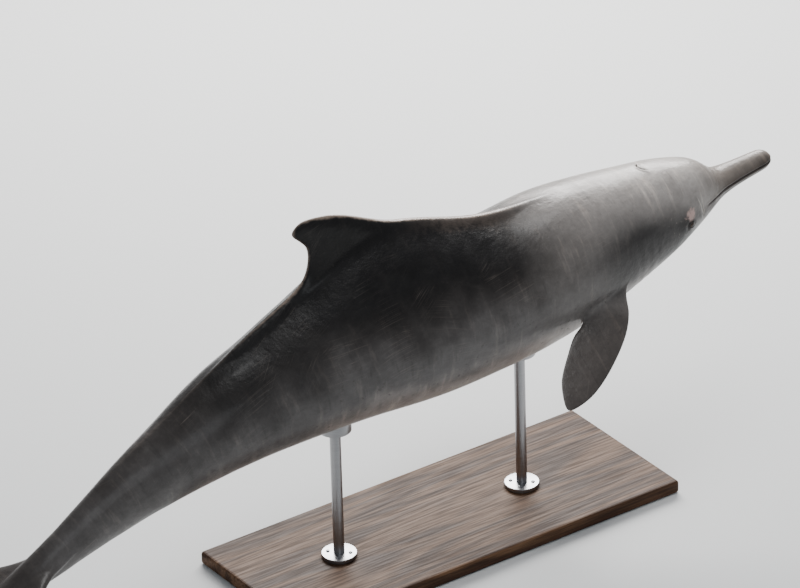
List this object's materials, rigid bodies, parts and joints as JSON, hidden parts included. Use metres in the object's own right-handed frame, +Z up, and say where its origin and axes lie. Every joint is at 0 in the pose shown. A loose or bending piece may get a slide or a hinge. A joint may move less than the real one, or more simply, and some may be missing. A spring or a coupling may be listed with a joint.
{
  "type": "indian ocean humpback dolphin",
  "caption": "Life-size still model of an Indian Ocean humpback dolphin rolling at the surface, with a humped back, small hooked fin and long beak, held on rods over a flat base.",
  "frame": {"origin": "on the floor, under the middle of the whole model's box, on the animal's middle plane", "axes": "+Z up; +X the way the animal faces; the animal's right side is at -Y"},
  "size_m": [2.471, 0.661, 1.0102],
  "materials": {
    "skin_back": "wet, smooth dark brown-grey skin",
    "skin_flank": "wet, smooth grey skin, paler below",
    "skin_beak": "wet, smooth brown-grey skin",
    "eye": "glossy dark brown eye",
    "blowhole": "dark inner lip of the closed blowhole",
    "stand_base": "satin dark wood",
    "stand_steel": "brushed steel"
  },
  "bodies": {
    "root": {"beak_upper": "skin_beak", "beak_lower": "skin_beak", "melon": "skin_back", "head": "skin_flank", "neck": "skin_flank", "chest": "skin_flank", "trunk": "skin_flank", "hump": "skin_back", "dorsal_fin": "skin_back", "loin": "skin_flank", "tail_stock": "skin_flank", "fluke_root": "skin_flank", "fluke_right": "skin_flank", "fluke_left": "skin_flank", "flipper_right": "skin_flank", "flipper_left": "skin_flank", "eye_right": "eye", "eye_left": "eye", "blowhole": "blowhole", "stand_base": "stand_base", "stand_flange_front": "stand_steel", "stand_flange_rear": "stand_steel", "stand_rod_front": "stand_steel", "stand_rod_rear": "stand_steel", "stand_cup_front": "stand_steel", "stand_cup_rear": "stand_steel"}
  },
  "joints": []
}
